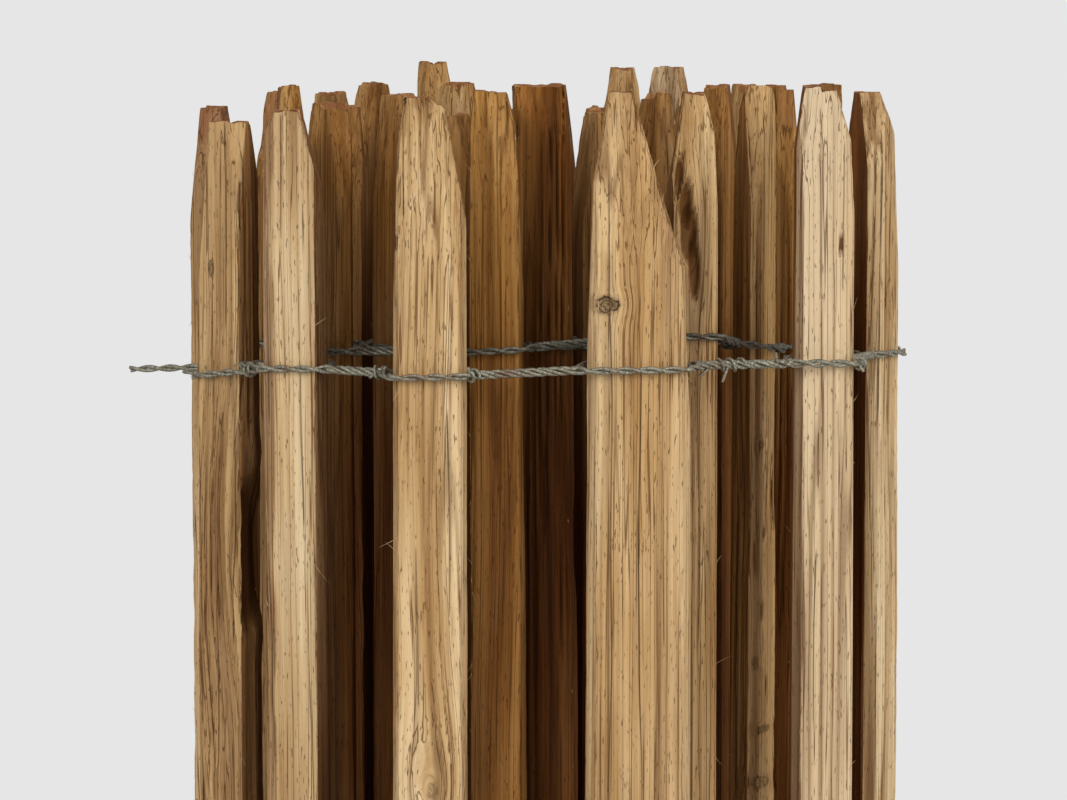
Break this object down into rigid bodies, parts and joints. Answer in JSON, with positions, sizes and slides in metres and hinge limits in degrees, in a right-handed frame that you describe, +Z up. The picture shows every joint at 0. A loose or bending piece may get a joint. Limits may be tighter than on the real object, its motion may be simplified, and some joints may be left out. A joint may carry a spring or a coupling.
{
  "type": "paling fence roll",
  "caption": "Rolled-up cleft chestnut paling fence: upright split pales with tapered tips, bound in a spiral by two lines of twisted galvanised wire.",
  "frame": {"origin": "centre of the bounding box, on the ground under the pales' feet", "axes": "+Z up along the pales and the roll's axis, -Y towards the pictured front, +X to the viewer's right"},
  "size_m": [0.3994, 0.3282, 0.902],
  "materials": {
    "chestnut": "split and weathered, matt",
    "line_wire": "galvanised, dull"
  },
  "bodies": {
    "root": {"pale_01": "chestnut", "pale_02": "chestnut", "pale_03": "chestnut", "pale_04": "chestnut", "pale_05": "chestnut", "pale_06": "chestnut", "pale_07": "chestnut", "pale_08": "chestnut", "pale_09": "chestnut", "pale_10": "chestnut", "pale_11": "chestnut", "pale_12": "chestnut", "pale_13": "chestnut", "pale_14": "chestnut", "pale_15": "chestnut", "pale_16": "chestnut", "pale_17": "chestnut", "pale_18": "chestnut", "pale_19": "chestnut", "pale_20": "chestnut", "pale_21": "chestnut", "pale_22": "chestnut", "pale_23": "chestnut", "pale_24": "chestnut", "pale_25": "chestnut", "pale_26": "chestnut", "pale_27": "chestnut", "pale_28": "chestnut", "pale_29": "chestnut", "pale_30": "chestnut", "pale_31": "chestnut", "pale_32": "chestnut", "pale_33": "chestnut", "pale_34": "chestnut", "pale_35": "chestnut", "pale_36": "chestnut", "pale_37": "chestnut", "pale_38": "chestnut", "top_line_front": "line_wire", "top_line_back": "line_wire", "bottom_line_front": "line_wire", "bottom_line_back": "line_wire"}
  },
  "joints": []
}
